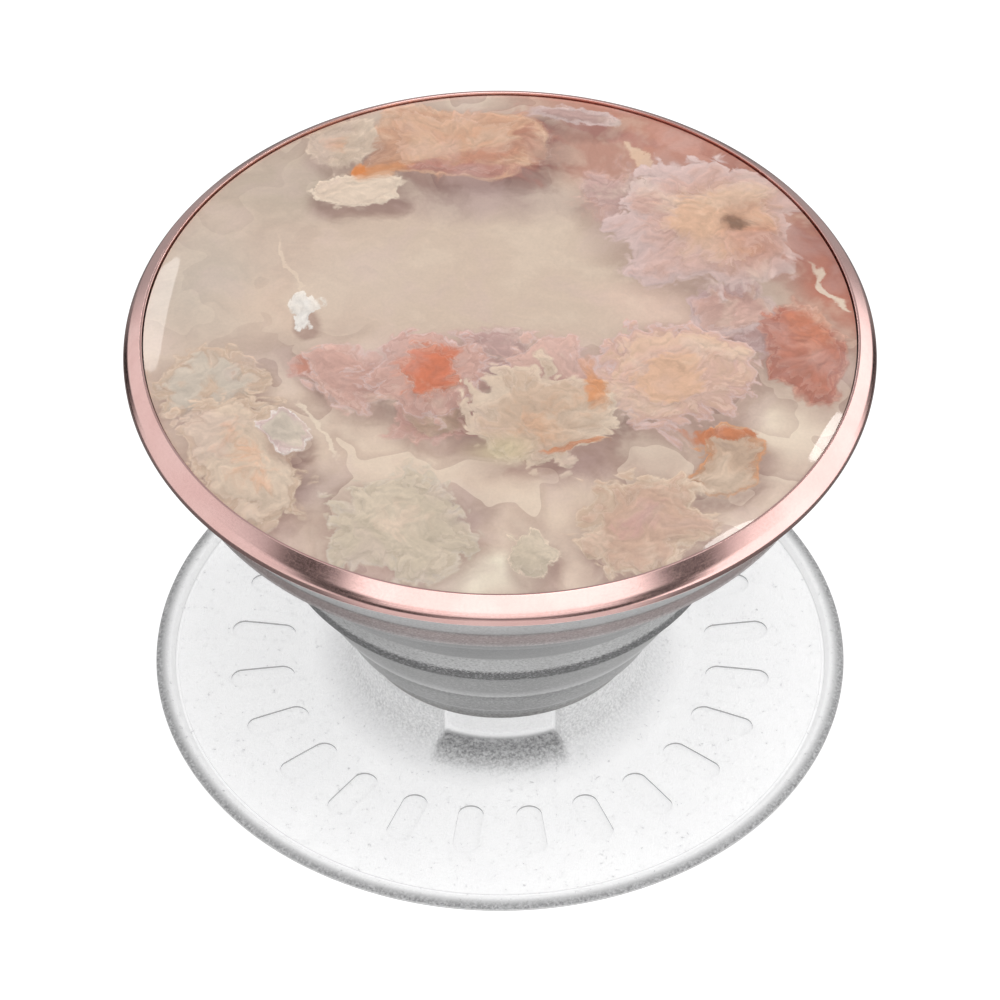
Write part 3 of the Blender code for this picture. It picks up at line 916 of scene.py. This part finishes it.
def paint_plumes(stone):
    """The plumes and their stains, from the back of the face to its front."""
    plume, stain = stone.plume, stone.stain
    stain((0.3, 0.82), (0.26, 0.035), CLAY, 0.8, -12)
    stain((0.56, 0.78), (0.22, 0.05), rgb(214, 160, 146), 0.8, -34)
    stain((0.72, 0.66), (0.2, 0.05), BRICK, 0.8, -44)
    stain((0.93, 0.34), (0.05, 0.24), BRICK, 0.9, 12)
    stain((0.84, 0.5), (0.14, 0.04), AMBER, 0.5, -55)
    stain((0.45, 0.7), (0.13, 0.022), rgb(229, 196, 172), 1.0, -44, 0.7)
    stain((0.93, 0.19), (0.1, 0.014), CREAM, 1.0, -58, 0.7)
    plume((0.02, 0.78), (0.11, 0.14), (TERRACOTTA, SALMON, CLAY, SALMON), 0, 0, 0, 0.3, 0.3)
    slab = (PEACH, SLAB, SLAB, PEACH)
    plume((-0.14, 0.79), (0.235, 0.155), slab, 0, 0, -6, 0.9, 0.05, 0.15, square=True)
    stain((-0.11, 0.67), (0.24, 0.045), CLAY, 0.9, -4)
    stain((-0.02, 0.74), (0.16, 0.05), TERRACOTTA, 0.55, 10)
    stain((0.08, 0.76), (0.02, 0.13), BRICK, 0.6, 4)
    stain((-0.18, 0.88), (0.2, 0.05), PEACH, 0.8, 4)
    stain((-0.24, 0.78), (0.08, 0.07), rgb(224, 188, 160), 0.7)
    plume((-0.46, 0.8), (0.09, 0.1), (PEACH, BEIGE, BEIGE, CREAM), 0, 0, 20, 0.5, 0.12, 0.8, 0.9)
    plume((-0.41, 0.59), (0.11, 0.085), (CREAM, CREAM, CREAM, IVORY), 0, 0, 8, 0.8, 0.08, 0.9)
    stain((-0.35, 0.68), (0.1, 0.05), AMBER, 1.0, 8, 0.5)
    stain((-0.39, 0.69), (0.05, 0.025), rgb(224, 138, 70), 0.9, 8)
    plume((0.2, 0.895), (0.115, 0.045), (MAUVE, MAUVE, LILAC, LILAC), 0, 0, -8, 0.5, 0.12, 0.6)
    dusky = (MAUVE, rgb(205, 172, 168), PINK, MAUVE)
    plume((0.31, 0.58), (0.12, 0.11), dusky, 0, 0, 0, 0.45, 0.3, 1.2, 0.9)
    plume((0.76, 0.02), (0.1, 0.09), (LILAC, MAUVE, LILAC, LILAC), 7, 0.1, 0, 0.4, 0.1)
    plume((0.66, 0.1), (0.12, 0.1), (ROSE, ROSE, LILAC, LILAC), 9, 0.12, 20, 0.4, 0.1)
    plume((0.6, 0.45), (0.255, 0.25), (PEACH, ROSE, LILAC, LILAC), 25, 0.09, 10, 0.6, 0.05, 0.55)
    plume((0.64, 0.45), (0.23, 0.21), (PEACH, PEACH, ROSE, ROSE), 0, 0, 15, 0.0, 0.45, 0.4)
    stone.wash((0.73, 0.36), (0.16, 0.14), rgb(206, 148, 124), 0.8, 0.1)
    stone.wash((0.72, 0.52), (0.12, 0.09), rgb(202, 158, 136), 0.7, 0.1)
    stone.wash((0.68, 0.43), (0.07, 0.065), rgb(176, 134, 110), 0.8, 0.2)
    stain((0.68, 0.43), (0.062, 0.055), UMBER, 0.9, 30, 0.5)
    plume((0.85, -0.05), (0.105, 0.2), (SALMON, TERRACOTTA, BRICK, SALMON), 0, 0, 6, 0.5, 0.12, 0.7)
    stain((0.88, 0.03), (0.07, 0.1), rgb(204, 128, 98), 0.7, -10)
    plume((-0.52, -0.15), (0.045, 0.045), (SALMON, SALMON, PINK, PINK), 0, 0, 0, 0.3, 0.2)
    plume((-0.38, -0.17), (0.13, 0.11), (PINK, PINK, ROSE, LILAC), 7, 0.1, 0, 0.5, 0.12)
    plume((-0.02, -0.13), (0.12, 0.12), (DUSK, MAUVE, MAUVE, LILAC), 0, 0, 0, 0.35, 0.2)
    plume((-0.17, -0.33), (0.12, 0.1), (PUTTY, PUTTY, PINK, ROSE), 5, 0.1, 10, 0.6, 0.1)
    plume((-0.19, -0.18), (0.16, 0.15), (SALMON, PINK, PINK, LILAC), 9, 0.1, 0, 0.4, 0.12)
    glow = (EMBER, EMBER, rgb(212, 136, 108), ROSE)
    plume((-0.19, -0.18), (0.07, 0.08), glow, 5, 0.25, 20, 0.2, 0.2, 1.2, 0.9)
    stain((-0.14, -0.1), (0.05, 0.03), EMBER, 0.8, 40)
    stain((-0.26, -0.12), (0.035, 0.03), rgb(208, 140, 116), 0.7)
    plume((0.14, -0.16), (0.14, 0.12), (ROSE, ROSE, ROSE, LILAC), 7, 0.1, 0, 0.4, 0.12)
    plume((0.48, -0.17), (0.21, 0.2), (PEACH, rgb(225, 192, 170), ROSE, LILAC), 15, 0.1, 0, 0.7, 0.06)
    plume((0.49, -0.19), (0.12, 0.11), (PEACH, PEACH, ROSE, ROSE), 0, 0, 0, 0.0, 0.5)
    plume((0.11, -0.34), (0.19, 0.18), (rgb(208, 172, 146), TAN, BEIGE, BEIGE), 13, 0.1, 12, 0.75, 0.06)
    stone.wash((0.0, -0.46), (0.13, 0.09), STRAW, 0.8, 0.1)
    stain((0.27, -0.18), (0.035, 0.11), AMBER, 1.0, 8)
    stain((0.21, -0.46), (0.09, 0.022), rgb(206, 140, 100), 0.9, 12, 0.7)
    plume((0.61, -0.5), (0.1, 0.115), (TAN, PUTTY, rgb(196, 150, 118), AMBER), 0, 0, -12, 0.6, 0.1)
    stain((0.6, -0.41), (0.12, 0.022), rgb(196, 124, 84), 1.0, 6, 0.7)
    plume((-0.8, -0.2), (0.13, 0.13), (TAN, MIST, TAN, BEIGE), 7, 0.1, 0, 0.5, 0.08)
    plume((-0.71, -0.5), (0.14, 0.24), (PEACH, BEIGE, TAN, BEIGE), 11, 0.1, 18, 0.7, 0.07)
    plume((-0.6, -0.41), (0.055, 0.06), (MIST, MIST, LILAC, PEARL), 0, 0, 0, 0.5, 0.1)
    plume((-0.28, -0.76), (0.18, 0.17), (BEIGE, SAGE, SAGE, MIST), 9, 0.1, 0, 0.7, 0.07)
    plume((0.39, -0.73), (0.145, 0.17), (PINK, rgb(202, 170, 152), TAN, BEIGE), 7, 0.1, -14, 0.7, 0.07)
    plume((0.08, -0.86), (0.075, 0.085), (SAGE, SAGE, SAGE, CREAM), 5, 0.08, 0, 0.6, 0.08)
    stain((-0.58, 0.24), (0.13, 0.01), CREAM, 0.9, 104, 0.7)
    stain((-0.5, -0.4), (0.13, 0.01), IVORY, 0.8, -62, 0.7)
    plume((-0.54, 0.1), (0.035, 0.05), (PEARL, PEARL, PEARL, PEARL), 5, 0.25, 20, 0.6, 0.08)


def make_face():
    stone = Agate()
    paint_ground(stone)
    paint_plumes(stone)
    material = stone.finish()
    face = lathe("agate_face", dome_section(), 256)
    crisp(face, 50)
    dress(face, material, "button", "resin", "resin_dome")
    repaint("stone_disc", material)


# ---------------------------------------------------------------- hidden pieces
def moulded_material(name, light, dark, scale, roughness):
    """Plain moulded plastic or gel with faint flow marks and a fine eroded grain."""
    material, tree, shader = new_material(name, Roughness=roughness)
    place = millimetres(tree)
    flow = tree.noise(place, scale, 4, 0.6, 0.8).outputs["Fac"]
    fine = tree.noise(place, 9, 3, 0.6).outputs["Fac"]
    colour = tree.mix(tree.step(flow, 0.3, 0.7), dark, light)
    colour = tree.mix(tree.step(fine, 0.4, 0.8, 0, 0.2), colour, dark)
    tree.put(shader.inputs["Base Color"], colour)
    tree.put(shader.inputs["Roughness"], tree.step(fine, 0.3, 0.7, roughness - 0.08, roughness + 0.1))
    tree.put(shader.inputs["Normal"], tree.bump(fine, 0.2, 0.00004))
    return material


def make_hidden_pieces():
    gel = moulded_material("pad_gel", rgb(196, 198, 200), rgb(168, 171, 174), 0.4, 0.42)
    pad_radius, thickness = radius("adhesive_pad"), high("adhesive_pad")
    corners = [(0.5, thickness, 0), (pad_radius, thickness, 0.12), (pad_radius, 0, 0.12), (0.5, 0, 0)]
    section = [(0, thickness)] + rounded(corners) + [(0, 0)]
    dress(lathe("gel_pad", section), gel, "base", "gel", "adhesive_pad")
    plastic = moulded_material("natural_plastic", rgb(226, 226, 228), rgb(200, 200, 203), 0.6, 0.4)
    for node in ("anchor_plug", "key_plate", "twist_key"):
        repaint(node, plastic)
    repaint("bonding_film", moulded_material("film", rgb(232, 230, 222), rgb(214, 210, 200), 0.9, 0.5))


# ---------------------------------------------------------------- studio
FLOOR_RADIUS = 0.07


def make_floor():
    bm = bmesh.new()
    bmesh.ops.create_circle(bm, cap_ends=True, segments=96, radius=FLOOR_RADIUS)
    bmesh.ops.translate(bm, vec=(0, 0, -0.00002), verts=bm.verts)
    mesh = bpy.data.meshes.new("floor")
    bm.to_mesh(mesh)
    bm.free()
    floor = bpy.data.objects.new("floor", mesh)
    bpy.context.scene.collection.objects.link(floor)
    material, tree, shader = new_material(
        "pale_floor", Roughness=0.9, Emission_Color=(1, 1, 1, 1)
    )
    split = tree.node("ShaderNodeSeparateXYZ")
    tree.put(split.inputs[0], millimetres(tree))
    across = tree.math("ABSOLUTE", split.outputs["X"])
    forward = tree.math("MULTIPLY", split.outputs["Y"], -1.0)
    turn = tree.math("ARCTAN2", across, forward)
    sides = tree.step(turn, math.radians(28), math.radians(48))
    tree.put(shader.inputs["Base Color"], tree.mix(sides, rgb(225, 225, 225), rgb(110, 110, 110)))
    seen = tree.node("ShaderNodeLightPath").outputs["Is Camera Ray"]
    tree.put(shader.inputs["Emission Strength"], seen)
    floor.data.materials.append(material)


# Brightness of the studio's parts.
FRONT_SKY = 1.5
BACK_SKY = 0.4
TOP_SKY = 1.0
LEFT_PANEL = 0.85
RIGHT_PANEL = 1.5
CARD = 0.06
HORIZON = 0.2
GROUND = 0.7


def make_world():
    """Soft studio: a bright front and top, a lit panel at each side and a black card before each."""
    world = bpy.data.worlds.new("studio")
    bpy.context.scene.world = world
    world.use_nodes = True
    tree = Tree(world.node_tree)
    background = world.node_tree.nodes["Background"]
    split = tree.node("ShaderNodeSeparateXYZ")
    tree.put(split.inputs[0], tree.node("ShaderNodeTexCoord").outputs["Generated"])
    x, y, z = split.outputs
    turn = tree.math("ARCTAN2", x, tree.math("MULTIPLY", y, -1.0))
    side = tree.math("ABSOLUTE", turn)
    front = tree.step(z, 0.18, 0.34, HORIZON, FRONT_SKY)
    ground = tree.step(z, 0.0, -0.35)
    front = tree.math("MULTIPLY_ADD", ground, tree.math("SUBTRACT", GROUND, front), front)

    panel = tree.step(x, -0.3, 0.3, LEFT_PANEL, RIGHT_PANEL)
    foot = tree.step(side, math.radians(90), math.radians(125), -0.6, -0.12)
    height = tree.math("SUBTRACT", z, foot)
    panel = tree.math("MULTIPLY", panel, tree.step(height, -0.12, 0.1))
    away = tree.step(side, math.radians(136), math.radians(152))
    high_up = tree.step(z, 0.5, 0.68)
    rest = tree.math("MAXIMUM", away, high_up)
    panel = tree.math("MULTIPLY_ADD", rest, tree.math("SUBTRACT", BACK_SKY, panel), panel)

    middle = tree.math("MULTIPLY_ADD", z, math.radians(35), math.radians(36))
    beyond = tree.math("SUBTRACT", side, middle)
    past = tree.step(beyond, -0.1, 0.1)
    level = tree.math("MULTIPLY_ADD", past, tree.math("SUBTRACT", panel, front), front)
    card = tree.step(tree.math("ABSOLUTE", beyond), math.radians(17), math.radians(8))
    level = tree.math("MULTIPLY_ADD", card, tree.math("SUBTRACT", CARD, level), level)
    overhead = tree.step(z, 0.74, 0.93)
    level = tree.math("MULTIPLY_ADD", overhead, tree.math("SUBTRACT", TOP_SKY, level), level)
    light = tree.node("ShaderNodeCombineColor")
    for socket in light.inputs:
        tree.put(socket, level)
    seen = tree.node("ShaderNodeLightPath").outputs["Is Camera Ray"]
    white = (1.0, 1.0, 1.0, 1.0)
    tree.put(background.inputs["Color"], tree.mix(seen, light.outputs[0], white))
    background.inputs["Strength"].default_value = 1.0


SOFTBOX_DISTANCE = 0.6
# Azimuth and elevation in degrees, diameter in metres, power in watts.
SOFTBOXES = {
    "key": (20, 72, 0.35, 0.68),
    "left_window": (-158, 40, 0.1, 0.08),
    "right_spark": (152, 50, 0.05, 0.05),
    "right_glint": (151, 61, 0.045, 0.04),
}


def make_softbox(name, azimuth, elevation, size, power):
    """A round area light that faces the part. Azimuth 0 is in front, 90 to the right, in degrees."""
    lamp = bpy.data.lights.new(name, "AREA")
    lamp.shape = "DISK"
    lamp.size = size
    lamp.energy = power
    obj = bpy.data.objects.new(name, lamp)
    a, e = math.radians(azimuth), math.radians(elevation)
    aim = Vector((math.sin(a) * math.cos(e), -math.cos(a) * math.cos(e), math.sin(e)))
    obj.location = aim * SOFTBOX_DISTANCE
    obj.rotation_euler = aim.to_track_quat("Z", "Y").to_euler()
    bpy.context.scene.collection.objects.link(obj)


CAMERA_PITCH = math.radians(45.5)
CAMERA_DISTANCE = 0.4323
CAMERA_TARGET = Vector((0, 0, 0.01342))
CAMERA_LENS = 289.7


def make_camera():
    """Looks down at the part through a long lens, as the product was pictured."""
    camera = bpy.data.cameras.new("camera")
    camera.lens = CAMERA_LENS
    camera.sensor_width = 36
    camera.clip_start, camera.clip_end = 0.01, 10
    obj = bpy.data.objects.new("camera", camera)
    back = Vector((0, -math.cos(CAMERA_PITCH), math.sin(CAMERA_PITCH)))
    obj.location = CAMERA_TARGET + back * CAMERA_DISTANCE
    obj.rotation_euler = back.to_track_quat("Z", "Y").to_euler()
    bpy.context.scene.collection.objects.link(obj)
    bpy.context.scene.camera = obj


make_platform()
make_accordion()
make_webs()
make_button()
make_rim()
make_face()
make_hidden_pieces()
make_floor()
make_world()
for softbox, place in SOFTBOXES.items():
    make_softbox(softbox, *place)
make_camera()
bpy.context.scene.view_settings.view_transform = "Standard"
